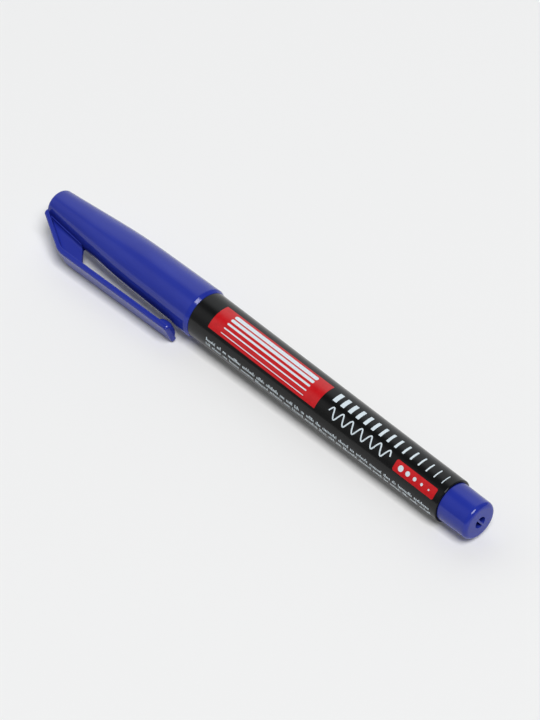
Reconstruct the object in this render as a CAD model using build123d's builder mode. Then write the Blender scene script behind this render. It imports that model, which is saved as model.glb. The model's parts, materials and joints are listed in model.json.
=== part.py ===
from build123d import *
import os
from math import cos, radians, sin, tan

# Capped fineliner pen, in mm. It is modelled along X: x = 0 is the plane where the closed cap meets the barrel,
# the cap lies towards -X and the end plug towards +X. At the end the pen is set down on its side, clip on the table.

# Lengths along the axis
cap_length = 53.0
barrel_length = 78.7
plug_head_length = 8.3

# Fits between pieces
push_clearance = 0.02
slide_clearance = 0.05
cap_seat_gap = 0.05

# Cap shell
cap_rim_radius = 6.36
cap_knee_radius = 5.97
cap_end_radius = 3.84
cap_knee_from_end = 25.8
cap_knee_blend = 200.0
cap_end_round = 0.8
cap_lip_length = 0.95
cap_lip_drop = 0.42
cap_lip_blend = 0.8
cap_wall = 0.95
cap_end_wall = 1.4
cap_bore_depth = 9.0
cap_mouth_chamfer = 0.2

# Snap ring that holds the cap
snap_from_rim = 4.0
snap_width = 1.2
snap_groove_depth = 0.12

# Pocket clip, measured in its own side plane
clip_roll = 21.5
clip_width = 6.2
clip_thickness = 1.33
clip_shoulder_thickness = 1.15
clip_shoulder_angle = 26.75
clip_root_inset = 1.0
clip_root_sink = 0.5
clip_bend_gap = 2.4
clip_tip_gap = 1.61
clip_tip_inset = 3.4
clip_bend_round = 6.0
clip_tip_flat = 3.6
clip_face_round = 0.6
clip_edge_round = 0.25
bump_gap = 0.12
bump_radius = 2.1
bump_tip_inset = 2.3
web_thickness = 1.0
web_foot_length = 12.9
web_head_length = 17.5

# Inner cap, the sealing liner
liner_wall = 0.7
liner_mouth_inset = 0.5
seal_length = 3.0

# Barrel
barrel_front_radius = 5.92
barrel_rear_radius = 5.26
barrel_wall = 0.95
barrel_edge_round = 0.2
rib_count = 4
rib_height = 0.3
rib_width = 0.8
rib_margin = 2.0

# Front section, the nib holder
spigot_length = 9.5
collar_length = 7.0
collar_clearance = 0.15
grip_step = 0.4
seal_lead = 2.5
nose_radius = 2.7
nose_length = 6.0
nose_round = 0.5
reservoir_seat_depth = 6.0
reservoir_seat_width = 0.8
funnel_length = 5.0
nib_air_gap = 0.15

# Nib and its metal sleeve
sleeve_radius = 1.15
sleeve_wall = 0.3
sleeve_seat_length = 7.0
sleeve_show_length = 7.5
sleeve_crimp_length = 2.2
sleeve_lip_wall = 0.2
nib_point_radius = 0.28
nib_point_length = 1.2
nib_tail_length = 8.0

# Ink reservoir
film_thickness = 0.12

# End plug
plug_step = 0.5
plug_draft = 0.12
plug_end_round = 1.05
plug_end_wall = 1.6
plug_wall = 1.0
plug_stem_length = 10.0
plug_stem_chamfer = 0.3
vent_radius = 1.45
vent_bar = 0.4
vent_turn = 34.0
vent_corner = 0.3

# Places along the axis that several pieces share
cap_end_x = -cap_length
cap_knee_x = cap_end_x + cap_knee_from_end
cap_floor_x = cap_end_x + cap_end_wall
liner_floor_x = cap_floor_x + slide_clearance
liner_mouth_x = cap_knee_x - liner_mouth_inset
nose_x = liner_mouth_x + seal_lead
nose_front_x = nose_x - nose_length
sleeve_back_x = nose_front_x + sleeve_seat_length
sleeve_front_x = nose_front_x - sleeve_show_length
crimp_x = sleeve_front_x + sleeve_crimp_length
reservoir_front_x = -reservoir_seat_depth
reservoir_rear_x = barrel_length - plug_stem_length - slide_clearance
nib_tail_x = reservoir_front_x + nib_tail_length
pen_rear_x = barrel_length + plug_head_length

# Radii that several pieces share
cap_bore_radius = cap_rim_radius - cap_wall
collar_radius = cap_bore_radius - collar_clearance
bead_radius = cap_bore_radius - slide_clearance
socket_radius = barrel_front_radius - barrel_wall
plug_socket_radius = barrel_rear_radius - barrel_wall
reservoir_radius = min(socket_radius, plug_socket_radius) - rib_height - slide_clearance
core_radius = reservoir_radius - film_thickness - push_clearance
sleeve_bore_radius = sleeve_radius - sleeve_wall
nib_radius = sleeve_bore_radius - push_clearance


def along(x, start, end):
    # Radius at x on the straight line between two (x, radius) points
    return start[1] + (end[1] - start[1]) * (x - start[0]) / (end[0] - start[0])


def cap_cone(x):
    # Outside radius of the cap's conical half
    return along(x, (cap_end_x, cap_end_radius), (cap_knee_x, cap_knee_radius))


def cap_skirt(x):
    # Outside radius of the cap's nearly parallel half
    return along(x, (cap_knee_x, cap_knee_radius), (0, cap_rim_radius))


def barrel_bore(x):
    # Radius of the barrel's tapered bore
    return along(x, (0, socket_radius), (barrel_length, plug_socket_radius))


def round_corner(point, radius):
    # Rounds the corner of the current sketch that lies at a point
    fillet(vertices().sort_by_distance(point)[0], radius)


# Clip: a sloping shoulder, a long strap that leans towards the cap, and a round bump inside its tip.
# Its plane holds the pen's axis and is rolled below the horizontal until the strap lies on the table.
roll = radians(clip_roll)
clip_out = Vector(0, -cos(roll), -sin(roll))
clip_side = Vector(0, sin(roll), -cos(roll))
clip_plane = Plane(origin=(0, 0, 0), x_dir=(1, 0, 0), z_dir=clip_side)
clip_plan = Plane(origin=(0, 0, 0), x_dir=(1, 0, 0), z_dir=clip_out)

shoulder_rise = tan(radians(clip_shoulder_angle))
shoulder_cover = clip_shoulder_thickness / cos(radians(clip_shoulder_angle))
root = (cap_end_x + clip_root_inset, cap_end_radius - clip_root_sink)
bend_radius = cap_rim_radius + clip_bend_gap
bend = (root[0] + (bend_radius - root[1]) / shoulder_rise, bend_radius)
tip = (-clip_tip_inset, cap_rim_radius + clip_tip_gap)
tip_round = (clip_width - clip_tip_flat) / 2
strap_rise = (tip[1] - bend[1]) / (tip[0] - bend[0])
outer_root = (root[0], root[1] + shoulder_cover)
outer_tip = (tip[0], tip[1] + clip_thickness)
outer_bend_x = (outer_tip[1] - outer_root[1] + shoulder_rise * root[0] - strap_rise * tip[0]) / (
    shoulder_rise - strap_rise
)
outer_bend = (outer_bend_x, outer_root[1] + shoulder_rise * (outer_bend_x - root[0]))
bump_x = tip[0] - bump_tip_inset
bump_base = (bump_x, along(bump_x, bend, tip) + clip_thickness / 2)
bump_foot = (bump_x - bump_radius, bump_base[1])
bump_top = (bump_x, cap_skirt(bump_x) + bump_gap)

with BuildPart() as clip:
    with BuildSketch(clip_plane):
        with BuildLine():
            Polyline(tip, outer_tip, outer_bend, outer_root, root, bend, close=True)
        make_face()
        round_corner(outer_bend, clip_bend_round)
        round_corner(bend, clip_bend_round - clip_thickness)
    extrude(amount=clip_width / 2, both=True)
    with BuildSketch(clip_plan):
        with BuildLine():
            Polyline(
                (root[0], clip_width / 2),
                (tip[0], clip_width / 2),
                (tip[0], -clip_width / 2),
                (root[0], -clip_width / 2),
                close=True,
            )
        make_face()
        round_corner((tip[0], clip_width / 2), tip_round)
        round_corner((tip[0], -clip_width / 2), tip_round)
    extrude(amount=outer_bend[1], mode=Mode.INTERSECT)
    tip_end = clip.faces().sort_by(Axis.X)[-1]
    tip_outer_edge = tip_end.edges().sort_by(Axis((0, 0, 0), clip_out))[-1]
    fillet(tip_outer_edge, clip_face_round)  # runs on round the whole outer face
    fillet(clip.edges(), clip_edge_round)
    with BuildSketch(clip_plane):
        with BuildLine():
            TangentArc(bump_top, bump_foot, tangent=(-1, 0))
            Polyline(bump_foot, bump_base, bump_top)
        make_face()
    revolve(axis=Axis((bump_x, 0, 0), clip_out))

# Cap shell: a cone that turns into a nearly parallel skirt with a lip that slopes in towards the barrel,
# closed at one end, with the clip moulded on
web_foot_x = root[0] + web_foot_length
web_head_x = root[0] + web_head_length
web_depth = cap_wall / 2
web_corner = ((bend[0] + outer_bend[0]) / 2, (bend[1] + outer_bend[1]) / 2)
lip_start_x = -cap_seat_gap - cap_lip_length
lip_start = (lip_start_x, cap_skirt(lip_start_x))
lip_end = (-cap_seat_gap, cap_rim_radius - cap_lip_drop)

with BuildPart() as cap_shell:
    with BuildSketch():
        with BuildLine():
            Polyline(
                lip_end,
                (-cap_seat_gap, cap_bore_radius + cap_mouth_chamfer),
                (-cap_seat_gap - cap_mouth_chamfer, cap_bore_radius),
                (-snap_from_rim + snap_width / 2, cap_bore_radius),
                (-snap_from_rim, cap_bore_radius + snap_groove_depth),
                (-snap_from_rim - snap_width / 2, cap_bore_radius),
                (-cap_bore_depth, cap_bore_radius),
                (cap_knee_x, cap_knee_radius - cap_wall),
                (cap_floor_x, cap_cone(cap_floor_x) - cap_wall),
                (cap_floor_x, 0),
                (cap_end_x, 0),
                (cap_end_x, cap_end_radius),
                (cap_knee_x, cap_knee_radius),
                lip_start,
                close=True,
            )
        make_face()
        round_corner((cap_end_x, cap_end_radius), cap_end_round)
        round_corner((cap_knee_x, cap_knee_radius), cap_knee_blend)
        round_corner(lip_start, cap_lip_blend)
    revolve(axis=Axis.X)
    add(clip.part)
    with BuildSketch(clip_plane):
        with BuildLine():
            Polyline(
                (root[0], cap_cone(root[0]) - web_depth),
                (root[0], root[1] + shoulder_cover / 2),
                web_corner,
                (web_head_x, along(web_head_x, bend, tip) + clip_thickness / 2),
                (web_foot_x, cap_cone(web_foot_x) - web_depth),
                close=True,
            )
        make_face()
    extrude(amount=web_thickness / 2, both=True)
cap_shell.part.label = "cap_shell"

# Inner cap: a liner that follows the cap's cone, with a sealing sleeve round the section's nose
with BuildPart() as inner_cap:
    with BuildSketch():
        with BuildLine():
            liner_floor_radius = cap_cone(liner_floor_x) - cap_wall - slide_clearance
            liner_mouth_radius = cap_cone(liner_mouth_x) - cap_wall - slide_clearance
            liner_inside_x = liner_floor_x + liner_wall
            seal_radius = nose_radius + slide_clearance
            seal_back_x = liner_mouth_x - seal_length
            web_back_x = liner_mouth_x - liner_wall
            Polyline(
                (liner_floor_x, 0),
                (liner_floor_x, liner_floor_radius),
                (liner_mouth_x, liner_mouth_radius),
                (liner_mouth_x, seal_radius),
                (seal_back_x, seal_radius),
                (seal_back_x, seal_radius + liner_wall),
                (web_back_x, seal_radius + liner_wall),
                (web_back_x, cap_cone(web_back_x) - cap_wall - slide_clearance - liner_wall),
                (liner_inside_x, cap_cone(liner_inside_x) - cap_wall - slide_clearance - liner_wall),
                (liner_inside_x, 0),
                close=True,
            )
        make_face()
        round_corner((liner_mouth_x, seal_radius), liner_wall / 2)
    revolve(axis=Axis.X)
inner_cap.part.label = "inner_cap"

# Barrel: a tapered tube with a socket at each end and ribs that centre the reservoir
rib_front_x = spigot_length + rib_margin
rib_rear_x = barrel_length - plug_stem_length - rib_margin

with BuildPart() as barrel:
    with BuildSketch():
        with BuildLine():
            Polyline(
                (0, socket_radius),
                (0, barrel_front_radius),
                (barrel_length, barrel_rear_radius),
                (barrel_length, plug_socket_radius),
                (barrel_length - plug_stem_length, plug_socket_radius),
                (barrel_length - plug_stem_length, barrel_bore(barrel_length - plug_stem_length)),
                (spigot_length, barrel_bore(spigot_length)),
                (spigot_length, socket_radius),
                close=True,
            )
        make_face()
        round_corner((barrel_length, barrel_rear_radius), barrel_edge_round)
    revolve(axis=Axis.X)
    for rib in range(rib_count):
        with BuildSketch(Plane.XY.rotated((360 * rib / rib_count, 0, 0))):
            with BuildLine():
                Polyline(
                    (rib_front_x, reservoir_radius + slide_clearance),
                    (rib_rear_x, reservoir_radius + slide_clearance),
                    (rib_rear_x, barrel_bore(rib_rear_x) + barrel_wall / 2),
                    (rib_front_x, barrel_bore(rib_front_x) + barrel_wall / 2),
                    close=True,
                )
            make_face()
        extrude(amount=rib_width / 2, both=True)
barrel.part.label = "barrel"

# Front section: spigot in the barrel, collar with the snap bead, grip cone and nose
with BuildPart() as front_section:
    with BuildSketch():
        with BuildLine():
            nib_hole_radius = nib_radius + nib_air_gap
            sleeve_hole_radius = sleeve_radius + push_clearance
            reservoir_hole_radius = reservoir_radius + slide_clearance
            spigot_radius = socket_radius - push_clearance
            Polyline(
                (spigot_length - push_clearance, reservoir_hole_radius),
                (spigot_length - push_clearance, spigot_radius),
                (-push_clearance, spigot_radius),
                (-push_clearance, collar_radius),
                (-snap_from_rim + snap_width / 2, collar_radius),
                (-snap_from_rim, bead_radius),
                (-snap_from_rim - snap_width / 2, collar_radius),
                (-collar_length, collar_radius),
                (-collar_length - grip_step, collar_radius - grip_step),
                (nose_x, nose_radius),
                (nose_front_x, nose_radius),
                (nose_front_x, sleeve_hole_radius),
                (sleeve_back_x, sleeve_hole_radius),
                (sleeve_back_x, nib_hole_radius),
                (reservoir_front_x - funnel_length, nib_hole_radius),
                (reservoir_front_x, reservoir_radius - reservoir_seat_width),
                (reservoir_front_x, reservoir_hole_radius),
                close=True,
            )
        make_face()
        round_corner((nose_front_x, nose_radius), nose_round)
    revolve(axis=Axis.X)
front_section.part.label = "front_section"

# Nib sleeve: a metal tube, crimped to the nib at its front
with BuildPart() as nib_sleeve:
    with BuildSketch():
        with BuildLine():
            lip_radius = nib_point_radius + push_clearance
            Polyline(
                (sleeve_back_x, sleeve_bore_radius),
                (sleeve_back_x, sleeve_radius),
                (crimp_x, sleeve_radius),
                (sleeve_front_x, lip_radius + sleeve_lip_wall),
                (sleeve_front_x, lip_radius),
                (crimp_x, sleeve_bore_radius),
                close=True,
            )
        make_face()
    revolve(axis=Axis.X)
nib_sleeve.part.label = "nib_sleeve"

# Nib: a fibre rod from the writing point back into the reservoir
with BuildPart() as nib:
    with BuildSketch():
        with BuildLine():
            point_x = sleeve_front_x - nib_point_length
            Polyline(
                (nib_tail_x, 0),
                (nib_tail_x, nib_radius),
                (crimp_x, nib_radius),
                (sleeve_front_x, nib_point_radius),
                (point_x, nib_point_radius),
                (point_x, 0),
                close=True,
            )
        make_face()
        round_corner((point_x, nib_point_radius), nib_point_radius / 2)
    revolve(axis=Axis.X)
nib.part.label = "nib"

# Ink reservoir: a fibre core with the nib's tail in it, wrapped in film
with BuildPart() as reservoir_core:
    with BuildSketch():
        with BuildLine():
            tail_hole_radius = nib_radius + push_clearance
            tail_hole_x = nib_tail_x + push_clearance
            Polyline(
                (reservoir_front_x + push_clearance, tail_hole_radius),
                (reservoir_front_x + push_clearance, core_radius),
                (reservoir_rear_x, core_radius),
                (reservoir_rear_x, 0),
                (tail_hole_x, 0),
                (tail_hole_x, tail_hole_radius),
                close=True,
            )
        make_face()
    revolve(axis=Axis.X)
reservoir_core.part.label = "reservoir_core"

with BuildPart() as reservoir_film:
    with BuildSketch():
        with BuildLine():
            film_inside_radius = reservoir_radius - film_thickness
            Polyline(
                (reservoir_front_x + push_clearance, film_inside_radius),
                (reservoir_front_x + push_clearance, reservoir_radius),
                (reservoir_rear_x, reservoir_radius),
                (reservoir_rear_x, film_inside_radius),
                close=True,
            )
        make_face()
    revolve(axis=Axis.X)
reservoir_film.part.label = "reservoir_film"

# End plug: a hollow stem in the barrel, a head with a large rounded edge, and a round vent with a bar across it
with BuildPart() as end_plug:
    with BuildSketch():
        with BuildLine():
            head_radius = barrel_rear_radius - plug_step
            stem_radius = plug_socket_radius - push_clearance
            stem_front_x = barrel_length - plug_stem_length
            head_front_x = barrel_length + push_clearance
            hollow_radius = stem_radius - plug_wall
            Polyline(
                (stem_front_x, hollow_radius),
                (stem_front_x, stem_radius - plug_stem_chamfer),
                (stem_front_x + plug_stem_chamfer, stem_radius),
                (head_front_x, stem_radius),
                (head_front_x, head_radius),
                (pen_rear_x, head_radius - plug_draft),
                (pen_rear_x, 0),
                (pen_rear_x - plug_end_wall, 0),
                (pen_rear_x - plug_end_wall, hollow_radius),
                close=True,
            )
        make_face()
        round_corner((pen_rear_x, head_radius - plug_draft), plug_end_round)
    revolve(axis=Axis.X)
    with BuildSketch(Plane.YZ.offset(pen_rear_x)) as vent:
        Circle(vent_radius)
        Rectangle(vent_bar, 2 * vent_radius, rotation=vent_turn, mode=Mode.SUBTRACT)
        fillet(vent.vertices(), vent_corner)
    extrude(amount=-plug_end_wall, mode=Mode.SUBTRACT)
end_plug.part.label = "end_plug"

# The pen is set down on its side, with the origin under the middle of its outline
pieces = [
    cap_shell,
    inner_cap,
    barrel,
    front_section,
    nib_sleeve,
    nib,
    reservoir_core,
    reservoir_film,
    end_plug,
]
outline = pieces[0].part.bounding_box()
for piece in pieces[1:]:
    outline = outline.add(piece.part.bounding_box())
middle = outline.center()
set_down = Location((-middle.X, -middle.Y, -outline.min.Z))

os.makedirs("parts", exist_ok=True)
for piece in pieces:
    piece.part.move(set_down)
    export_step(piece.part, f"parts/{piece.part.label}.step")

print("pen axis at", set_down.position)
print("length", outline.size.X, "width", outline.size.Y, "height", outline.size.Z)
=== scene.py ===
import bpy
import json
import random
from math import atan2, copysign, cos, pi, radians, sin, sqrt, tan
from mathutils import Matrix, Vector


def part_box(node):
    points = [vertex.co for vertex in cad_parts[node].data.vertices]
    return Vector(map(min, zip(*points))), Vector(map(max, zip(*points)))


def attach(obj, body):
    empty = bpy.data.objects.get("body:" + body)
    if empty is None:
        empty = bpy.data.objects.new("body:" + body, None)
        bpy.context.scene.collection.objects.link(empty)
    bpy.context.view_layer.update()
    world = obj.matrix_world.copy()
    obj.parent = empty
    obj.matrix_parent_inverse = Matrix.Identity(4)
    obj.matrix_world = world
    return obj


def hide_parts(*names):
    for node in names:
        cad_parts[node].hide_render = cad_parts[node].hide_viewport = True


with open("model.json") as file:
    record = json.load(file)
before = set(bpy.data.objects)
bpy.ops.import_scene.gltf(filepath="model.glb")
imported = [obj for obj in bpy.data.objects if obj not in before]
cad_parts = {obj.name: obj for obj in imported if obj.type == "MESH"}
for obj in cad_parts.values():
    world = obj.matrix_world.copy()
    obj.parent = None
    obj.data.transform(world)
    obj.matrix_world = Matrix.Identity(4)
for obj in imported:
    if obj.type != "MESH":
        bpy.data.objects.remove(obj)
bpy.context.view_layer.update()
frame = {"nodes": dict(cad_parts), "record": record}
print("frame loaded with", len(frame["nodes"]), "nodes")

# Pieces are modelled in millimetres along X, with x = 0 where the closed cap meets the barrel,
# and then set down on the pen's axis in the frame, in metres.
mm = 0.001
joints = {joint["name"]: joint for joint in frame["record"]["behaviour"]["joints"]}
penSeat = Vector(joints["cap_turn"]["pos_m"])


def reach(node):  # first and last x of a node and its radius, in the pen's own millimetres
    low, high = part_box(node)
    return (low.x - penSeat.x) / mm, (high.x - penSeat.x) / mm, (high.z - low.z) / 2 / mm


# Helpers for modelling

modelling = {"samePoint": 0.001, "mergeGap": 0.0005, "arcStep": 5, "leastSteps": 4, "smoothAngle": 32}


def clearSelection():
    if bpy.context.mode != "OBJECT":
        bpy.ops.object.mode_set(mode="OBJECT")
    bpy.ops.object.select_all(action="DESELECT")


def makeActive(piece):
    clearSelection()
    piece.select_set(True)
    bpy.context.view_layer.objects.active = piece


def newPlane(name):
    clearSelection()
    bpy.ops.mesh.primitive_plane_add(size=1)
    piece = bpy.context.object
    piece.name = name
    piece.data.name = name
    bpy.ops.object.mode_set(mode="EDIT")
    bpy.ops.mesh.select_mode(type="VERT")
    bpy.ops.mesh.select_all(action="SELECT")
    return piece


def closeMesh():  # turns all normals outwards and leaves edit mode
    bpy.ops.mesh.select_all(action="SELECT")
    bpy.ops.mesh.normals_make_consistent(inside=False)
    bpy.ops.object.mode_set(mode="OBJECT")


def applyModifier(piece, kind, **settings):
    makeActive(piece)
    modifier = piece.modifiers.new(kind.lower(), kind)
    for setting, value in settings.items():
        setattr(modifier, setting, value)
    bpy.ops.object.modifier_apply(modifier=modifier.name)


def combine(piece, tool, operation):
    applyModifier(piece, "BOOLEAN", operation=operation, solver="EXACT", object=tool)
    bpy.data.objects.remove(tool, do_unlink=True)


def roundOff(corners, closed):
    # turns (x, height, radius) corners into a path, where a corner with a radius becomes an arc
    arcStep = radians(modelling["arcStep"])
    path = []
    for index, (x, height, radius) in enumerate(corners):
        here = Vector((x, height))
        arc = [here]
        if radius > 0 and (closed or 0 < index < len(corners) - 1):
            back = (Vector(corners[index - 1][:2]) - here).normalized()
            ahead = (Vector(corners[(index + 1) % len(corners)][:2]) - here).normalized()
            half = back.angle(ahead) / 2
            centre = here + (back + ahead).normalized() * radius / sin(half)
            arm = here + back * radius / tan(half) - centre
            turn = (pi - 2 * half) * (1 if back.cross(ahead) < 0 else -1)
            steps = max(modelling["leastSteps"], round(abs(turn) / arcStep))
            arc = [centre + turned(arm, turn * step / steps) for step in range(steps + 1)]
        path += [point for point in arc if not path or (point - path[-1]).length > modelling["samePoint"]]
    return path


def turned(arm, angle):
    return Vector((arm.x * cos(angle) - arm.y * sin(angle), arm.x * sin(angle) + arm.y * cos(angle)))


def startSelecting(kind):
    bpy.ops.object.mode_set(mode="EDIT")
    bpy.ops.mesh.select_mode(type=kind)
    bpy.ops.mesh.select_all(action="DESELECT")
    bpy.ops.object.mode_set(mode="OBJECT")


def selectVertices(piece, wanted):
    startSelecting("VERT")
    for vertex in piece.data.vertices:
        vertex.select = wanted(vertex.co)
    bpy.ops.object.mode_set(mode="EDIT")


def selectEdges(piece, wanted):
    startSelecting("EDGE")
    for edge in piece.data.edges:
        start, end = [piece.data.vertices[index].co for index in edge.vertices]
        edge.select = wanted(start, end)
    bpy.ops.object.mode_set(mode="EDIT")


def drawPath(name, path):  # one vertex, extruded from point to point in the XZ plane
    piece = newPlane(name)
    bpy.ops.mesh.merge(type="CENTER")
    points = [Vector((point.x, 0, point.y)) for point in path]
    bpy.ops.transform.translate(value=points[0])
    for here, there in zip(points, points[1:]):
        bpy.ops.mesh.extrude_region_move(TRANSFORM_OT_translate={"value": there - here})
    return piece


def turnOnAxis(name, corners, steps, closed=False):  # lathe work round the pen's axis
    path = roundOff(corners, closed)
    piece = drawPath(name, path + path[:1] if closed else path)
    bpy.ops.mesh.select_all(action="SELECT")
    bpy.ops.mesh.spin(steps=steps, angle=2 * pi, center=(0, 0, 0), axis=(1, 0, 0))
    bpy.ops.mesh.select_all(action="SELECT")
    bpy.ops.mesh.remove_doubles(threshold=modelling["mergeGap"])
    closeMesh()
    return piece


def cutPlate(name, corners, thickness):  # a flat outline in the XZ plane, given its thickness across Y
    path = roundOff(corners, closed=True)
    piece = drawPath(name, path)
    bpy.ops.mesh.select_all(action="SELECT")
    bpy.ops.mesh.edge_face_add()
    bpy.ops.transform.translate(value=(0, -thickness / 2, 0))
    bpy.ops.mesh.extrude_region_move(TRANSFORM_OT_translate={"value": (0, thickness, 0)})
    closeMesh()
    return piece


def setDown(piece, material, body, node=None):
    makeActive(piece)
    bpy.ops.object.shade_smooth_by_angle(angle=radians(modelling["smoothAngle"]))
    applyModifier(piece, "WEIGHTED_NORMAL", keep_sharp=True)
    piece.scale = (mm, mm, mm)
    piece.location = penSeat
    bpy.ops.object.transform_apply(location=True, rotation=True, scale=True)
    piece.data.materials.clear()
    piece.data.materials.append(material)
    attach(piece, body)
    if node:
        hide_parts(node)


# Helpers for materials

# what all finishes share, with the metal and ior of those that name none of their own
surface = {"noiseSpan": (0.3, 0.7), "flowDetail": 3, "glossDetail": 4, "grainDetail": 2, "metal": 0,
           "ior": 1.49}


def startMaterial(name):
    material = bpy.data.materials.new(name)
    material.use_nodes = True
    nodes = material.node_tree.nodes
    return material, nodes, material.node_tree.links, nodes["Principled BSDF"]


def objectNoise(nodes, links, stretch, scale, detail):
    # noise on Object coordinates, stretched by a Mapping node
    place = nodes.new("ShaderNodeTexCoord")
    mapping = nodes.new("ShaderNodeMapping")
    mapping.inputs["Scale"].default_value = stretch
    links.new(place.outputs["Object"], mapping.inputs["Vector"])
    noise = nodes.new("ShaderNodeTexNoise")
    noise.inputs["Scale"].default_value = scale
    noise.inputs["Detail"].default_value = detail
    links.new(mapping.outputs["Vector"], noise.inputs["Vector"])
    return noise


def colourRange(nodes, links, source, dark, light):
    ramp = nodes.new("ShaderNodeValToRGB")
    for stop, place, colour in zip(ramp.color_ramp.elements, surface["noiseSpan"], (dark, light)):
        stop.position = place
        stop.color = (*colour, 1)
    links.new(source.outputs["Fac"], ramp.inputs["Fac"])
    return ramp.outputs["Color"]


def mapRange(nodes, links, value, fromSpan, toSpan):
    spread = nodes.new("ShaderNodeMapRange")
    for limit, number in zip(("From Min", "From Max", "To Min", "To Max"), (*fromSpan, *toSpan)):
        spread.inputs[limit].default_value = number
    links.new(value, spread.inputs["Value"])
    return spread.outputs["Result"]


def calculate(nodes, links, operation, first, second):
    sums = nodes.new("ShaderNodeMath")
    sums.operation = operation
    links.new(first, sums.inputs[0])
    links.new(second, sums.inputs[1])
    return sums.outputs["Value"]


def surfaceBump(nodes, links, source, strength, depth):
    bump = nodes.new("ShaderNodeBump")
    bump.inputs["Strength"].default_value = strength
    bump.inputs["Distance"].default_value = depth * mm
    links.new(source.outputs["Fac"], bump.inputs["Height"])
    return bump.outputs["Normal"]


def finish(name, look):  # a surface with mottled colour, uneven gloss and fine relief
    material, nodes, links, shader = startMaterial(name)
    flow = objectNoise(nodes, links, look["flow"], look["flowScale"], surface["flowDetail"])
    gloss = objectNoise(nodes, links, look["flow"], look["glossScale"], surface["glossDetail"])
    grain = objectNoise(nodes, links, look["grain"], look["grainScale"], surface["grainDetail"])
    roughness = mapRange(nodes, links, gloss.outputs["Fac"], surface["noiseSpan"], look["rough"])
    links.new(colourRange(nodes, links, flow, look["dark"], look["light"]), shader.inputs["Base Color"])
    links.new(roughness, shader.inputs["Roughness"])
    links.new(surfaceBump(nodes, links, grain, look["bump"], look["depth"]), shader.inputs["Normal"])
    shader.inputs["Metallic"].default_value = look.get("metal", surface["metal"])
    shader.inputs["IOR"].default_value = look.get("ior", surface["ior"])
    return material


bluePlastic = finish("bluePlastic", {
    "dark": (0.0178, 0.0310, 0.304), "light": (0.0207, 0.0363, 0.335), "ior": 1.41,
    "flow": (0.3, 1, 1), "flowScale": 320, "glossScale": 900, "rough": (0.09, 0.13),
    "grain": (1, 1, 1), "grainScale": 2400, "bump": 0.05, "depth": 0.02,
})
blackPlastic = finish("blackPlastic", {
    "dark": (0.0050, 0.0052, 0.0053), "light": (0.0075, 0.0078, 0.0080), "ior": 1.36,
    "flow": (0.3, 1, 1), "flowScale": 320, "glossScale": 900, "rough": (0.13, 0.19),
    "grain": (1, 1, 1), "grainScale": 2400, "bump": 0.05, "depth": 0.02,
})
linerPlastic = finish("linerPlastic", {
    "dark": (0.72, 0.72, 0.68), "light": (0.80, 0.80, 0.76),
    "flow": (0.3, 1, 1), "flowScale": 500, "glossScale": 1200, "rough": (0.35, 0.5),
    "grain": (1, 1, 1), "grainScale": 3000, "bump": 0.1, "depth": 0.02,
})
sleeveSteel = finish("sleeveSteel", {
    "dark": (0.56, 0.56, 0.57), "light": (0.68, 0.68, 0.69), "metal": 1,
    "flow": (1, 0.3, 0.3), "flowScale": 2500, "glossScale": 5000, "rough": (0.18, 0.34),
    "grain": (1, 0.1, 0.1), "grainScale": 9000, "bump": 0.15, "depth": 0.01,
})
nibFibre = finish("nibFibre", {
    "dark": (0.012, 0.02, 0.16), "light": (0.03, 0.05, 0.3),
    "flow": (0.05, 1, 1), "flowScale": 9000, "glossScale": 6000, "rough": (0.6, 0.85),
    "grain": (0.05, 1, 1), "grainScale": 12000, "bump": 0.5, "depth": 0.02,
})
inkFibre = finish("inkFibre", {
    "dark": (0.012, 0.018, 0.14), "light": (0.04, 0.06, 0.3),
    "flow": (0.04, 1, 1), "flowScale": 3000, "glossScale": 3000, "rough": (0.75, 0.95),
    "grain": (0.04, 1, 1), "grainScale": 6000, "bump": 0.5, "depth": 0.03,
})
wrapFilm = finish("wrapFilm", {
    "dark": (0.62, 0.63, 0.66), "light": (0.72, 0.73, 0.76),
    "flow": (0.2, 1, 1), "flowScale": 700, "glossScale": 700, "rough": (0.12, 0.25),
    "grain": (0.3, 1, 1), "grainScale": 900, "bump": 0.2, "depth": 0.02,
})
redInk = finish("redInk", {
    "dark": (0.50, 0.006, 0.010), "light": (0.58, 0.009, 0.014),
    "flow": (0.6, 1, 1), "flowScale": 1500, "glossScale": 2500, "rough": (0.16, 0.26),
    "grain": (1, 1, 1), "grainScale": 5000, "bump": 0.1, "depth": 0.01,
})
whiteInk = finish("whiteInk", {
    "dark": (0.62, 0.71, 0.76), "light": (0.71, 0.80, 0.86),
    "flow": (1, 1, 1), "flowScale": 3000, "glossScale": 2500, "rough": (0.2, 0.32),
    "grain": (1, 1, 1), "grainScale": 6000, "bump": 0.1, "depth": 0.01,
})
print("finishes ready")


# Cap: a turned shell with its clip, the web under the clip's shoulder and the domed bump inside its tip

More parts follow.
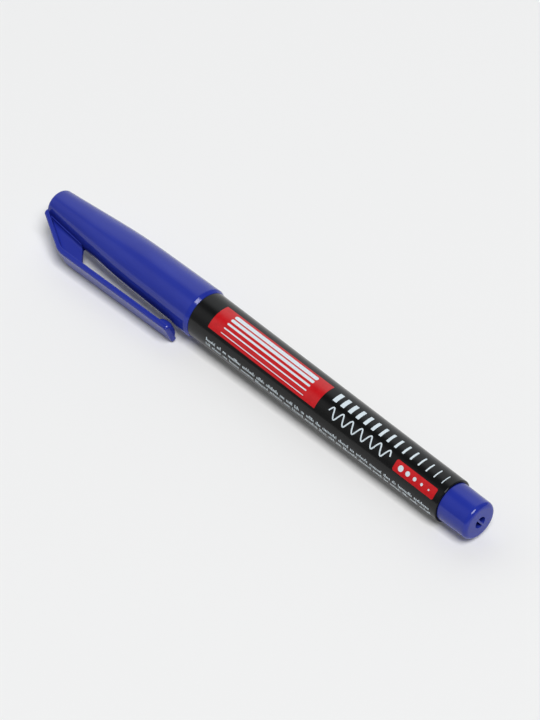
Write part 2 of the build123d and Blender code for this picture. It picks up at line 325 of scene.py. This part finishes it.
capEnd, capRim = reach("cap_shell")[:2]
cap = {
    "rimRadius": 6.36, "kneeRadius": 5.97, "endRadius": 3.84, "kneeFromEnd": 25.8, "kneeBlend": 200,
    "endRound": 0.8, "lipLength": 0.95, "lipDrop": 0.42, "lipBlend": 0.8, "wall": 0.95, "endWall": 1.4,
    "boreDepth": 9.0, "mouthChamfer": 0.2, "snapPlace": -4.0, "snapWidth": 1.2, "snapDepth": 0.12,
    "snapRound": 0.3, "floorRound": 0.4, "steps": 160,
    "gateRadius": 1.1, "gateDepth": 0.2, "gateNub": 0.45, "gateEdge": 0.1,
}
clip = {
    "roll": 21.5, "width": 6.2, "thickness": 1.33, "shoulderThickness": 1.15, "shoulderAngle": 26.75,
    "rootInset": 1.0, "rootSink": 0.5, "bendGap": 2.4, "tipGap": 1.61, "tipInset": 3.4,
    "bendRound": 6.0, "bendCuts": 10, "tipCorner": 0.65, "tipSegments": 12,
    "faceRound": 0.6, "faceSegments": 7, "edgeRound": 0.25, "edgeSegments": 4, "sharpAngle": 60,
    "bumpGap": 0.5, "bumpInset": 2.15, "bumpLength": 4.1, "bumpSide": 0.4, "bumpCorner": 1.2,
    "bumpSegments": 10, "bumpCrownShares": (0.25, 0.3), "bumpSteps": 9,
    "webThickness": 1.0, "webFoot": 12.9, "webHead": 17.5, "webFlare": 0.8, "webCuts": 7,
}


def along(x, start, end):  # height at x on the line between two (x, height) points
    return start[1] + (end[1] - start[1]) * (x - start[0]) / (end[0] - start[0])


capKnee = capEnd + cap["kneeFromEnd"]
endPoint = (capEnd, cap["endRadius"])
kneePoint = (capKnee, cap["kneeRadius"])
rimPoint = (0, cap["rimRadius"])


def makeCapShell():
    bore = cap["rimRadius"] - cap["wall"]
    floor = capEnd + cap["endWall"]
    snapHalf = cap["snapWidth"] / 2
    lipStart = capRim - cap["lipLength"]
    gateFloor = capEnd + cap["gateDepth"]
    gateEdge = cap["gateEdge"]
    return turnOnAxis("capShell", [
        (capEnd + cap["gateDepth"] / 2, 0, 0),
        (capEnd + cap["gateDepth"] / 2, cap["gateNub"], gateEdge / 2),
        (gateFloor, cap["gateNub"] + gateEdge, gateEdge / 3),
        (gateFloor, cap["gateRadius"] - gateEdge, gateEdge),
        (capEnd, cap["gateRadius"], gateEdge),
        (capEnd, cap["endRadius"], cap["endRound"]),
        (capKnee, cap["kneeRadius"], cap["kneeBlend"]),
        (lipStart, along(lipStart, kneePoint, rimPoint), cap["lipBlend"]),
        (capRim, cap["rimRadius"] - cap["lipDrop"], 0),
        (capRim, bore + cap["mouthChamfer"], 0),
        (capRim - cap["mouthChamfer"], bore, 0),
        (cap["snapPlace"] + snapHalf, bore, 0),
        (cap["snapPlace"], bore + cap["snapDepth"], cap["snapRound"]),
        (cap["snapPlace"] - snapHalf, bore, 0),
        (-cap["boreDepth"], bore, 0),
        (capKnee, cap["kneeRadius"] - cap["wall"], 0),
        (floor, along(floor, endPoint, kneePoint) - cap["wall"], cap["floorRound"]),
        (floor, 0, 0),
    ], cap["steps"])


def makeStrap(outerRoot, outerBend, outerTip):
    # a flat plate with round corners at its tip and a soft outer face, then bent along the clip's outer line
    shoulder = (outerBend - outerRoot).normalized()
    straight = (outerTip - outerBend).normalized()
    turn = shoulder.angle(straight)
    arm = clip["bendRound"] * tan(turn / 2)
    bendStart = (outerBend - outerRoot).length - arm
    bendStop = bendStart + clip["bendRound"] * turn
    length = bendStop + (outerTip - outerBend).length - arm
    bendCentre = outerRoot + shoulder * bendStart + Vector((shoulder.y, -shoulder.x)) * clip["bendRound"]

    strap = newPlane("strap")
    bpy.ops.transform.resize(value=(length, clip["width"], 1), center_override=(0, 0, 0))
    bpy.ops.transform.translate(value=(length / 2, 0, 0))
    selectVertices(strap, lambda place: place.x > length / 2)
    bpy.ops.mesh.bevel(offset=clip["tipCorner"], segments=clip["tipSegments"], affect="VERTICES")
    bpy.ops.mesh.select_all(action="SELECT")
    bpy.ops.mesh.extrude_region_move(TRANSFORM_OT_translate={"value": (0, 0, -clip["thickness"])})
    bpy.ops.mesh.select_all(action="SELECT")
    bpy.ops.mesh.normals_make_consistent(inside=False)
    middle = -clip["thickness"] / 2
    width = clip["width"]
    selectEdges(strap, lambda start, end: min(start.z, end.z) > middle and max(start.x, end.x) > width)
    bpy.ops.mesh.bevel(offset=clip["faceRound"], segments=clip["faceSegments"], affect="EDGES")
    bpy.ops.mesh.select_all(action="DESELECT")
    bpy.ops.mesh.edges_select_sharp(sharpness=radians(clip["sharpAngle"]))
    bpy.ops.mesh.bevel(offset=clip["edgeRound"], segments=clip["edgeSegments"], affect="EDGES")
    for cut in range(clip["bendCuts"] + 1):
        bpy.ops.mesh.select_all(action="SELECT")
        place = bendStart + (bendStop - bendStart) * cut / clip["bendCuts"]
        bpy.ops.mesh.bisect(plane_co=(place, 0, 0), plane_no=(1, 0, 0))
    bpy.ops.object.mode_set(mode="OBJECT")

    thinning = clip["shoulderThickness"] / clip["thickness"]
    for vertex in strap.data.vertices:
        run, side, depth = vertex.co
        share = min(max((run - bendStart) / (bendStop - bendStart), 0), 1)
        depth *= thinning + (1 - thinning) * share
        if run < clip["rootInset"]:  # the root's end face stands square to the pen
            run += depth * shoulder.y / shoulder.x
        out = turned(Vector((-shoulder.y, shoulder.x)), -turn * share)
        if run < bendStart:
            place = outerRoot + shoulder * run
        elif run < bendStop:
            place = bendCentre + out * clip["bendRound"]
        else:
            place = outerTip + straight * (run - length)
        place += out * depth
        vertex.co = (place.x, side, place.y)
    return strap


def makeBump(x, base, crown):
    # the tip's own outline a little inside its sides, extruded towards the cap and drawn in as a dome
    bump = newPlane("bump")
    width = clip["width"] - 2 * clip["bumpSide"]
    bpy.ops.transform.resize(value=(clip["bumpLength"], width, 1), center_override=(0, 0, 0))
    bpy.ops.transform.translate(value=(x, 0, base))
    bpy.ops.mesh.bevel(offset=clip["bumpCorner"], segments=clip["bumpSegments"], affect="VERTICES")
    bpy.ops.mesh.select_all(action="SELECT")
    depth = 0
    size = Vector((1, 1))
    for step in range(1, clip["bumpSteps"] + 1):
        angle = pi / 2 * step / clip["bumpSteps"]
        newDepth = (base - crown) * sin(angle)
        newSize = Vector([1 - (1 - share) * (1 - cos(angle)) for share in clip["bumpCrownShares"]])
        bpy.ops.mesh.extrude_region_move(TRANSFORM_OT_translate={"value": (0, 0, depth - newDepth)})
        bpy.ops.transform.resize(value=(newSize.x / size.x, newSize.y / size.y, 1), center_override=(x, 0, 0))
        depth, size = newDepth, newSize
    closeMesh()
    return bump


def flareFoot(web):
    # the web widens in a hollow curve where it stands on the cap
    makeActive(web)
    bpy.ops.object.mode_set(mode="EDIT")
    flare = clip["webFlare"]
    slope = (kneePoint[1] - endPoint[1]) / (kneePoint[0] - endPoint[0])
    for cut in range(clip["webCuts"] + 1):
        height = flare * (1 - sin(pi / 2 * cut / clip["webCuts"]))
        bpy.ops.mesh.select_all(action="SELECT")
        bpy.ops.mesh.bisect(plane_co=(endPoint[0], 0, endPoint[1] + height), plane_no=(-slope, 0, 1))
    bpy.ops.object.mode_set(mode="OBJECT")
    for vertex in web.data.vertices:
        height = vertex.co.z - along(vertex.co.x, endPoint, kneePoint)
        rest = min(max(1 - height / flare, 0), 1)
        vertex.co.y += copysign(flare * (1 - sqrt(1 - rest ** 2)), vertex.co.y)


def makeClip():
    # modelled upright in the XZ plane, then rolled round the pen until it points to the table
    rise = tan(radians(clip["shoulderAngle"]))
    cover = clip["shoulderThickness"] / cos(radians(clip["shoulderAngle"]))
    root = (capEnd + clip["rootInset"], cap["endRadius"] - clip["rootSink"])
    bendHeight = cap["rimRadius"] + clip["bendGap"]
    bend = (root[0] + (bendHeight - root[1]) / rise, bendHeight)
    tip = (-clip["tipInset"], cap["rimRadius"] + clip["tipGap"])
    lean = (tip[1] - bend[1]) / (tip[0] - bend[0])
    outerRoot = Vector((root[0], root[1] + cover))
    outerTip = Vector((tip[0], tip[1] + clip["thickness"]))
    outerX = (outerTip.y - outerRoot.y + rise * root[0] - lean * tip[0]) / (rise - lean)
    outerBend = Vector((outerX, outerRoot.y + rise * (outerX - root[0])))
    strap = makeStrap(outerRoot, outerBend, outerTip)

    # bump under the tip, its crown clear of the cap
    bumpX = tip[0] - clip["bumpInset"]
    bumpBase = along(bumpX, bend, tip) + clip["thickness"] / 2
    bumpTop = along(bumpX, kneePoint, rimPoint) + clip["bumpGap"]
    combine(strap, makeBump(bumpX, bumpBase, bumpTop), "UNION")

    # thin web between the shoulder and the cap
    webFoot = root[0] + clip["webFoot"]
    webHead = root[0] + clip["webHead"]
    sink = cap["wall"] / 2
    web = cutPlate("web", [
        (root[0] + sink, along(root[0] + sink, endPoint, kneePoint) - sink, 0),
        (root[0] + sink, root[1] + cover / 2, 0),
        ((bend[0] + outerBend.x) / 2, (bend[1] + outerBend.y) / 2, 0),
        (webHead, along(webHead, bend, tip) + clip["thickness"] / 2, 0),
        (webFoot, along(webFoot, endPoint, kneePoint) - sink, 0),
    ], clip["webThickness"])
    flareFoot(web)
    combine(strap, web, "UNION")
    makeActive(strap)
    strap.rotation_euler.x = radians(90 + clip["roll"])
    bpy.ops.object.transform_apply(location=True, rotation=True, scale=True)
    return strap


capShell = makeCapShell()
combine(capShell, makeClip(), "UNION")
setDown(capShell, bluePlastic, "cap", "cap_shell")
print("cap made:", len(capShell.data.polygons), "faces")


# Inner cap: the sealing liner

linerFloor, linerMouth = reach("inner_cap")[:2]
liner = {"wall": 0.7, "sealRadius": 2.75, "sealLength": 3.0, "clearance": 0.05, "floorRound": 0.3,
         "edgeRound": 0.1, "webRound": 0.2, "steps": 96}


def makeInnerCap():
    def outside(x):
        return along(x, endPoint, kneePoint) - cap["wall"] - liner["clearance"]
    wall = liner["wall"]
    inside = linerFloor + wall
    webBack = linerMouth - wall
    sealBack = linerMouth - liner["sealLength"]
    return turnOnAxis("innerCap", [
        (linerFloor, 0, 0),
        (linerFloor, outside(linerFloor), liner["floorRound"]),
        (linerMouth, outside(linerMouth), liner["edgeRound"]),
        (linerMouth, liner["sealRadius"], wall / 2),
        (sealBack, liner["sealRadius"], liner["edgeRound"]),
        (sealBack, liner["sealRadius"] + wall, liner["edgeRound"]),
        (webBack, liner["sealRadius"] + wall, liner["webRound"]),
        (webBack, outside(webBack) - wall, liner["webRound"]),
        (inside, outside(inside) - wall, liner["floorRound"]),
        (inside, 0, 0),
    ], liner["steps"])


innerCap = makeInnerCap()
setDown(innerCap, linerPlastic, "cap_liner", "inner_cap")


# Barrel: a tapered tube

barrelFront, barrelRear, barrelRadius = reach("barrel")
barrel = {"rearRadius": 5.26, "wall": 0.95, "edgeRound": 0.2, "frontRound": 0.15,
          "spigotLength": 9.5, "stemLength": 10.0, "steps": 192}
barrelStart = (barrelFront, barrelRadius)
barrelStop = (barrelRear, barrel["rearRadius"])


def makeBarrel():
    def bore(x):
        return along(x, barrelStart, barrelStop) - barrel["wall"]
    stem = barrelRear - barrel["stemLength"]
    spigot = barrelFront + barrel["spigotLength"]
    return turnOnAxis("barrelTube", [
        (barrelFront, bore(barrelFront), 0),
        (*barrelStart, barrel["frontRound"]),
        (*barrelStop, barrel["edgeRound"]),
        (barrelRear, bore(barrelRear), 0),
        (stem, bore(barrelRear), 0),
        (stem, bore(stem), 0),
        (spigot, bore(spigot), 0),
        (spigot, bore(barrelFront), 0),
    ], barrel["steps"], closed=True)


barrelTube = makeBarrel()
setDown(barrelTube, blackPlastic, "barrel", "barrel")


# Front section: spigot, collar with the snap bead, grip cone and nose

noseFront, spigotEnd = reach("front_section")[:2]
section = {
    "spigotRadius": 4.95, "spigotRound": 0.15, "beadRadius": 5.36, "beadRound": 0.4, "beadFootRound": 0.2,
    "collarRadius": 5.26, "collarLength": 7.0, "collarRound": 0.08, "gripStep": 0.4, "gripRound": 0.12,
    "noseRadius": 2.7, "noseLength": 6.0, "noseRound": 0.5, "noseBlend": 1.2,
    "sleeveHole": 1.17, "sleeveSeat": 7.0, "nibHole": 0.98, "funnel": 5.0,
    "reservoirFront": -6.0, "reservoirLip": 3.16, "reservoirHole": 4.01, "push": 0.02, "steps": 128,
}


def makeFrontSection():
    collar = section["collarRadius"]
    snapHalf = cap["snapWidth"] / 2
    nose = noseFront + section["noseLength"]
    grip = -section["collarLength"]
    step = section["gripStep"]
    seat = noseFront + section["sleeveSeat"]
    return turnOnAxis("frontSection", [
        (spigotEnd, section["reservoirHole"], 0),
        (spigotEnd, section["spigotRadius"], section["spigotRound"]),
        (-section["push"], section["spigotRadius"], 0),
        (-section["push"], collar, section["collarRound"]),
        (cap["snapPlace"] + snapHalf, collar, section["beadFootRound"]),
        (cap["snapPlace"], section["beadRadius"], section["beadRound"]),
        (cap["snapPlace"] - snapHalf, collar, section["beadFootRound"]),
        (grip, collar, section["gripRound"]),
        (grip - step, collar - step, section["gripRound"]),
        (nose, section["noseRadius"], section["noseBlend"]),
        (noseFront, section["noseRadius"], section["noseRound"]),
        (noseFront, section["sleeveHole"], 0),
        (seat, section["sleeveHole"], 0),
        (seat, section["nibHole"], 0),
        (section["reservoirFront"] - section["funnel"], section["nibHole"], 0),
        (section["reservoirFront"], section["reservoirLip"], 0),
        (section["reservoirFront"], section["reservoirHole"], 0),
    ], section["steps"], closed=True)


frontSection = makeFrontSection()
setDown(frontSection, blackPlastic, "barrel", "front_section")


# Nib in its steel sleeve

sleeveFront, sleeveBack, sleeveRadius = reach("nib_sleeve")
nibPoint, nibTail, nibRadius = reach("nib")
sleeve = {"wall": 0.3, "crimpLength": 2.2, "crimpBlend": 1.5, "innerBlend": 0.5, "backRound": 0.05,
          "lip": 0.3, "lipWall": 0.2, "lipRound": 0.08, "lipInnerRound": 0.03, "steps": 64}
nibSizes = {"pointRadius": 0.28, "pointRound": 0.14, "tailRound": 0.1, "crimpBlend": 0.5, "neckRound": 0.1,
            "steps": 48}


def makeNibSleeve():
    crimp = sleeveFront + sleeve["crimpLength"]
    return turnOnAxis("nibSleeve", [
        (sleeveBack, sleeveRadius - sleeve["wall"], 0),
        (sleeveBack, sleeveRadius, sleeve["backRound"]),
        (crimp, sleeveRadius, sleeve["crimpBlend"]),
        (sleeveFront, sleeve["lip"] + sleeve["lipWall"], sleeve["lipRound"]),
        (sleeveFront, sleeve["lip"], sleeve["lipInnerRound"]),
        (crimp, sleeveRadius - sleeve["wall"], sleeve["innerBlend"]),
    ], sleeve["steps"], closed=True)


def makeNib():
    crimp = sleeveFront + sleeve["crimpLength"]
    return turnOnAxis("nibRod", [
        (nibTail, 0, 0),
        (nibTail, nibRadius, nibSizes["tailRound"]),
        (crimp, nibRadius, nibSizes["crimpBlend"]),
        (sleeveFront, nibSizes["pointRadius"], nibSizes["neckRound"]),
        (nibPoint, nibSizes["pointRadius"], nibSizes["pointRound"]),
        (nibPoint, 0, 0),
    ], nibSizes["steps"])


nibSleeve = makeNibSleeve()
setDown(nibSleeve, sleeveSteel, "barrel", "nib_sleeve")
nibRod = makeNib()
setDown(nibRod, nibFibre, "barrel", "nib")
print("barrel, section and nib made")


# End plug: a stem in the barrel, a head with a large rounded edge and a round vent with a bar across it

plugFront, plugEnd, plugRadius = reach("end_plug")
plug = {"draft": 0.12, "endRound": 1.05, "endWall": 1.6, "wall": 1.0, "stemRadius": 4.29, "stemChamfer": 0.3,
        "headRound": 0.1, "hollowRound": 0.3, "gap": 0.02, "steps": 160, "ventRadius": 1.45, "ventSides": 64,
        "ventBar": 0.4, "ventTurn": 34, "ventCorner": 0.3, "ventSegments": 6}


def makeEndPlug():
    hollow = plug["stemRadius"] - plug["wall"]
    headFront = barrelRear + plug["gap"]
    piece = turnOnAxis("endPlug", [
        (plugEnd, 0, 0),
        (plugEnd, plugRadius - plug["draft"], plug["endRound"]),
        (headFront, plugRadius, plug["headRound"]),
        (headFront, plug["stemRadius"], 0),
        (plugFront + plug["stemChamfer"], plug["stemRadius"], 0),
        (plugFront, plug["stemRadius"] - plug["stemChamfer"], 0),
        (plugFront, hollow, 0),
        (plugEnd - plug["endWall"], hollow, plug["hollowRound"]),
        (plugEnd - plug["endWall"], 0, 0),
    ], plug["steps"])
    for side in (0, pi):
        combine(piece, makeVentDrill(radians(plug["ventTurn"]) + side), "DIFFERENCE")
    return piece


def makeVentDrill(turn):
    # half a disc beside the bar, with its two corners rounded, that stands out on both sides of the end wall
    drill = newPlane("drill")
    bpy.ops.mesh.delete(type="VERT")
    bpy.ops.mesh.primitive_circle_add(vertices=plug["ventSides"], radius=plug["ventRadius"], fill_type="NGON")
    edge = plug["ventBar"] / 2
    bpy.ops.mesh.bisect(plane_co=(edge, 0, 0), plane_no=(1, 0, 0), clear_inner=True)
    selectVertices(drill, lambda place: abs(place.x - edge) < modelling["samePoint"])
    bpy.ops.mesh.bevel(offset=plug["ventCorner"], segments=plug["ventSegments"], affect="VERTICES")
    bpy.ops.mesh.select_all(action="SELECT")
    overrun = plug["endWall"]
    length = plug["endWall"] + 2 * overrun
    bpy.ops.mesh.extrude_region_move(TRANSFORM_OT_translate={"value": (0, 0, length)})
    closeMesh()
    back = plugEnd - plug["endWall"] - overrun
    for vertex in drill.data.vertices:
        across, aside, depth = vertex.co
        y = across * cos(turn) - aside * sin(turn)
        z = across * sin(turn) + aside * cos(turn)
        vertex.co = (back + depth, y, z)
    return drill


endPlug = makeEndPlug()
setDown(endPlug, bluePlastic, "barrel", "end_plug")
print("end plug made")


# Print on the barrel: a red field with pen strokes, a line gauge, a squiggle, a dotted tag and fine strokes

# each shape is drawn flat, x along the pen and y up over the barrel, and then wrapped round the cone
ink = {"lift": 0.004, "thickness": 0.014, "slice": 0.3, "cornerSegments": 5, "dotSides": 32}


def addBar(x, y, width, height, corner=0):
    bpy.ops.mesh.primitive_plane_add(size=1, location=(x, y, 0))
    bpy.ops.transform.resize(value=(width, height, 1), center_override=(x, y, 0))
    if corner:
        bpy.ops.mesh.bevel(offset=corner, segments=ink["cornerSegments"], affect="VERTICES")


def addDot(x, y, radius):
    sides = ink["dotSides"]
    bpy.ops.mesh.primitive_circle_add(vertices=sides, radius=radius, fill_type="NGON", location=(x, y, 0))


def startPrint(name):
    piece = newPlane(name)
    bpy.ops.mesh.delete(type="VERT")
    return piece


def wrapPrint(piece, material, layer=0):
    # cuts the flat shapes into strips, gives the ink its thickness and lays it on the barrel's cone
    bpy.ops.object.mode_set(mode="OBJECT")
    ys = [vertex.co.y for vertex in piece.data.vertices]
    bpy.ops.object.mode_set(mode="EDIT")
    y = min(ys) + ink["slice"]
    while y < max(ys):
        bpy.ops.mesh.select_all(action="SELECT")
        bpy.ops.mesh.bisect(plane_co=(0, y, 0), plane_no=(0, 1, 0))
        y += ink["slice"]
    bpy.ops.mesh.select_all(action="SELECT")
    bpy.ops.mesh.extrude_region_move(TRANSFORM_OT_translate={"value": (0, 0, ink["thickness"])})
    closeMesh()
    base = ink["lift"] + layer * ink["thickness"]
    for vertex in piece.data.vertices:
        x, y, height = vertex.co
        skin = along(x, barrelStart, barrelStop)
        radius = skin + base + height
        vertex.co = (x, radius * sin(y / skin), radius * cos(y / skin))
    setDown(piece, material, "barrel")


redField = {"x": 23.1, "y": -2.0, "width": 34.9, "height": 7.0, "corner": 0.15}
fieldStrokes = {"left": 9.5, "length": 27.0, "top": 0.35, "pitch": 1.25,
                "weights": (1.0, 0.75, 0.5, 0.3, 0.18), "cornerShare": 0.49}
lineGauge = {"left": 43.6, "right": 76.6, "y": -0.15, "height": 2.7, "count": 15, "thin": 0.22, "thick": 1.2,
             "corner": 0.08}
squiggle = {"left": 44.0, "right": 63.0, "y": -3.75, "wave": 1.15, "waves": 6.5, "weight": 0.34, "cuts": 220,
            "strips": 2}
redTag = {"x": 71.0, "y": -4.35, "width": 12.2, "height": 2.75, "corner": 0.45}
tagDots = {"left": 66.8, "pitch": 2.1, "radii": (0.7, 0.58, 0.46, 0.34, 0.22)}
smallPrint = {"rows": (-8.7, -10.05), "left": 6.2, "right": 77.4, "strokeWidths": (0.13, 0.3),
              "strokeGap": 0.17, "wordGap": 0.6, "wordStrokes": (3, 11),
              "heights": (0.5, 0.52, 0.55, 0.85), "seed": 7}

redPanel = startPrint("redPanel")
addBar(redField["x"], redField["y"], redField["width"], redField["height"], redField["corner"])
wrapPrint(redPanel, redInk)

panelStrokes = startPrint("panelStrokes")
strokeMiddle = fieldStrokes["left"] + fieldStrokes["length"] / 2
for row, weight in enumerate(fieldStrokes["weights"]):
    y = fieldStrokes["top"] - row * fieldStrokes["pitch"]
    addBar(strokeMiddle, y, fieldStrokes["length"], weight, weight * fieldStrokes["cornerShare"])
wrapPrint(panelStrokes, whiteInk, layer=1)

gaugeBars = startPrint("gaugeBars")
for bar in range(lineGauge["count"]):
    share = bar / (lineGauge["count"] - 1)
    x = lineGauge["left"] + (lineGauge["right"] - lineGauge["left"]) * share
    weight = lineGauge["thick"] + (lineGauge["thin"] - lineGauge["thick"]) * share
    addBar(x, lineGauge["y"], weight, lineGauge["height"], lineGauge["corner"])
wrapPrint(gaugeBars, whiteInk)

penSquiggle = startPrint("penSquiggle")
bpy.ops.mesh.primitive_grid_add(x_subdivisions=squiggle["cuts"], y_subdivisions=squiggle["strips"], size=1)
bpy.ops.object.mode_set(mode="OBJECT")
squiggleLength = squiggle["right"] - squiggle["left"]
for vertex in penSquiggle.data.vertices:  # a unit grid, bent into a wave of even weight
    share = vertex.co.x + 0.5
    angle = 2 * pi * squiggle["waves"] * share
    slope = 2 * pi * squiggle["waves"] * squiggle["wave"] * cos(angle) / squiggleLength
    aside = squiggle["weight"] * vertex.co.y
    lean = atan2(slope, 1)
    x = squiggle["left"] + squiggleLength * share - aside * sin(lean)
    vertex.co = (x, squiggle["y"] + squiggle["wave"] * sin(angle) + aside * cos(lean), 0)
bpy.ops.object.mode_set(mode="EDIT")
wrapPrint(penSquiggle, whiteInk)

redTagPrint = startPrint("redTag")
addBar(redTag["x"], redTag["y"], redTag["width"], redTag["height"], redTag["corner"])
wrapPrint(redTagPrint, redInk)

tagDotsPrint = startPrint("tagDots")
for place, radius in enumerate(tagDots["radii"]):
    addDot(tagDots["left"] + place * tagDots["pitch"], redTag["y"], radius)
wrapPrint(tagDotsPrint, whiteInk, layer=1)

draw = random.Random(smallPrint["seed"])
smallPrintRows = startPrint("smallPrint")
for y in smallPrint["rows"]:
    x = smallPrint["left"]
    while x < smallPrint["right"]:
        for stroke in range(draw.randint(*smallPrint["wordStrokes"])):
            width = draw.uniform(*smallPrint["strokeWidths"])
            height = draw.choice(smallPrint["heights"])
            addBar(x + width / 2, y + height / 2, width, height)
            x += width + smallPrint["strokeGap"]
        x += smallPrint["wordGap"]
wrapPrint(smallPrintRows, whiteInk)
print("print laid on the barrel")


# The ink reservoir keeps its CAD solids, with fibre and film finishes

for node, material in (("reservoir_core", inkFibre), ("reservoir_film", wrapFilm)):
    solid = frame["nodes"][node]
    solid.data.materials.clear()
    solid.data.materials.append(material)


# Floor, which leans a little because the pen lies on the cap's rim and the barrel's rear edge

floorLook = {"size": 12.0, "colour": (0.86, 0.86, 0.86), "rough": 0.9, "rimX": -1.45, "rimRadius": 6.345,
             "gap": 0.02, "paleTone": (0.863, 0.863, 0.866), "paleShare": 0.07}


def makeFloorPaper():
    # in view and in reflections a share of the floor is a flat pale tone, so its shadows stay light
    paper, nodes, links, shader = startMaterial("floorPaper")
    shader.inputs["Base Color"].default_value = (*floorLook["colour"], 1)
    shader.inputs["Roughness"].default_value = floorLook["rough"]
    shader.inputs["Specular IOR Level"].default_value = 0
    seenBy = nodes.new("ShaderNodeLightPath").outputs
    inView = calculate(nodes, links, "MAXIMUM", seenBy["Is Camera Ray"], seenBy["Is Glossy Ray"])
    pale = nodes.new("ShaderNodeEmission")
    pale.inputs["Color"].default_value = (*floorLook["paleTone"], 1)
    blend = nodes.new("ShaderNodeMixShader")
    links.new(mapRange(nodes, links, inView, (0, 1), (0, floorLook["paleShare"])), blend.inputs["Fac"])
    links.new(shader.outputs["BSDF"], blend.inputs[1])
    links.new(pale.outputs["Emission"], blend.inputs[2])
    links.new(blend.outputs["Shader"], nodes["Material Output"].inputs["Surface"])
    paper.cycles.emission_sampling = "NONE"
    return paper


leanRise = (floorLook["rimRadius"] - barrel["rearRadius"]) / (barrelRear - floorLook["rimX"])
floorDrop = floorLook["rimRadius"] + floorLook["gap"]
bpy.ops.object.select_all(action="DESELECT")
bpy.ops.mesh.primitive_plane_add(size=floorLook["size"])
floor = bpy.context.object
floor.name = "floor"
floor.location = penSeat + Vector((floorLook["rimX"] * mm, 0, -floorDrop * mm))
floor.rotation_euler.y = -atan2(leanRise, 1)
floor.data.materials.append(makeFloorPaper())


# Light: soft panels on both sides with dark between them, a faint glow beyond the cap's end and a large lamp

# stops are degrees from overhead towards the far side, with the brightness there
farPanel = {  # its edge runs slantwise over the pen
    "turn": 44.0,
    "stops": ((20, 0), (26, 0.13), (30, 0.48), (34, 0.78), (40, 0.96), (47, 1.0), (55, 0.94), (70, 0.90),
              (85, 0.98), (100, 1.0)),
    "tint": (0.965, 1.0, 1.01),
}
nearPanel = {
    "turn": 0.0,
    "stops": ((-100, 0.22), (-75, 0.24), (-65, 0.31), (-55, 0.43), (-45, 0.52), (-35, 0.54), (-27, 0.45),
              (-21, 0.27), (-15, 0.05), (-10, 0)),
    "tint": (1.0, 1.0, 1.0),
}
reaches = {"farFull": -0.3, "farGone": 0.0, "farRest": 0.12,
           "nearFull": -0.48, "nearGone": -0.36, "nearRest": 0.1}  # how far the panels go along the room
leftGlow = {"starts": -0.565, "full": -0.595, "brightness": 0.28}
lamp = {"leanAlong": 25.0, "leanNear": 9.5, "distance": 9.0, "size": (4.8, 4.0), "radiance": 12.7}

world = bpy.data.worlds.new("softPanels")
bpy.context.scene.world = world
world.use_nodes = True
worldNodes = world.node_tree.nodes
worldLinks = world.node_tree.links
sky = worldNodes["Background"]
direction = worldNodes.new("ShaderNodeTexCoord")
parts = worldNodes.new("ShaderNodeSeparateXYZ")
worldLinks.new(direction.outputs["Generated"], parts.inputs["Vector"])


def alongRange(start, stop, low, high):  # a value that changes from the cap's end of the room to the plug's
    return mapRange(worldNodes, worldLinks, parts.outputs["X"], (start, stop), (low, high))


def makePanel(panel, strength):
    # brightness by the angle from overhead, across a direction turned about the vertical
    turnTable = worldNodes.new("ShaderNodeMapping")
    turnTable.inputs["Rotation"].default_value = (0, 0, -radians(panel["turn"]))
    worldLinks.new(direction.outputs["Generated"], turnTable.inputs["Vector"])
    turnedParts = worldNodes.new("ShaderNodeSeparateXYZ")
    worldLinks.new(turnTable.outputs["Vector"], turnedParts.inputs["Vector"])
    swing = calculate(worldNodes, worldLinks, "ARCTAN2", turnedParts.outputs["Y"], turnedParts.outputs["Z"])
    ramp = worldNodes.new("ShaderNodeValToRGB")
    worldLinks.new(mapRange(worldNodes, worldLinks, swing, (-pi, pi), (0, 1)), ramp.inputs["Fac"])
    stops = ramp.color_ramp.elements
    for index, (angle, brightness) in enumerate(panel["stops"]):
        place = angle / 360 + 0.5
        stop = stops[index] if index < 2 else stops.new(place)
        stop.position = place
        stop.color = (*[brightness * channel for channel in panel["tint"]], 1)
    lit = worldNodes.new("ShaderNodeVectorMath")
    lit.operation = "SCALE"
    worldLinks.new(ramp.outputs["Color"], lit.inputs[0])
    worldLinks.new(strength, lit.inputs["Scale"])
    return lit.outputs["Vector"]


def brighter(first, second):
    choice = worldNodes.new("ShaderNodeVectorMath")
    choice.operation = "MAXIMUM"
    worldLinks.new(first, choice.inputs[0])
    worldLinks.new(second, choice.inputs[1])
    return choice.outputs["Vector"]


farSide = makePanel(farPanel, alongRange(reaches["farFull"], reaches["farGone"], 1, reaches["farRest"]))
nearSide = makePanel(nearPanel, alongRange(reaches["nearFull"], reaches["nearGone"], 1, reaches["nearRest"]))
glow = alongRange(leftGlow["full"], leftGlow["starts"], leftGlow["brightness"], 0)
worldLinks.new(brighter(brighter(farSide, nearSide), glow), sky.inputs["Color"])

lampData = bpy.data.lights.new("lamp", "AREA")
lampData.shape = "RECTANGLE"
lampData.size, lampData.size_y = lamp["size"]
lampData.energy = lamp["radiance"] * pi * lamp["size"][0] * lamp["size"][1]
lampObject = bpy.data.objects.new("lamp", lampData)
bpy.context.scene.collection.objects.link(lampObject)
lampObject.rotation_euler = (radians(lamp["leanNear"]), radians(lamp["leanAlong"]), 0)
lampObject.location = penSeat + lampObject.rotation_euler.to_matrix() @ Vector((0, 0, lamp["distance"]))


# Camera, placed from the pen's seat

view = {"offset": (353.518, -304.771, 435.480), "azimuth": 47.474, "elevation": 43.936, "lens": 140,
        "sensor": 36}
cameraData = bpy.data.cameras.new("camera")
cameraData.lens = view["lens"]
cameraData.sensor_width = view["sensor"]
camera = bpy.data.objects.new("camera", cameraData)
bpy.context.scene.collection.objects.link(camera)
camera.location = penSeat + Vector(view["offset"]) * mm
camera.rotation_euler = (radians(90 - view["elevation"]), 0, radians(view["azimuth"]))
bpy.context.scene.camera = camera
bpy.context.scene.view_settings.view_transform = "Standard"
print("floor, light and camera set")
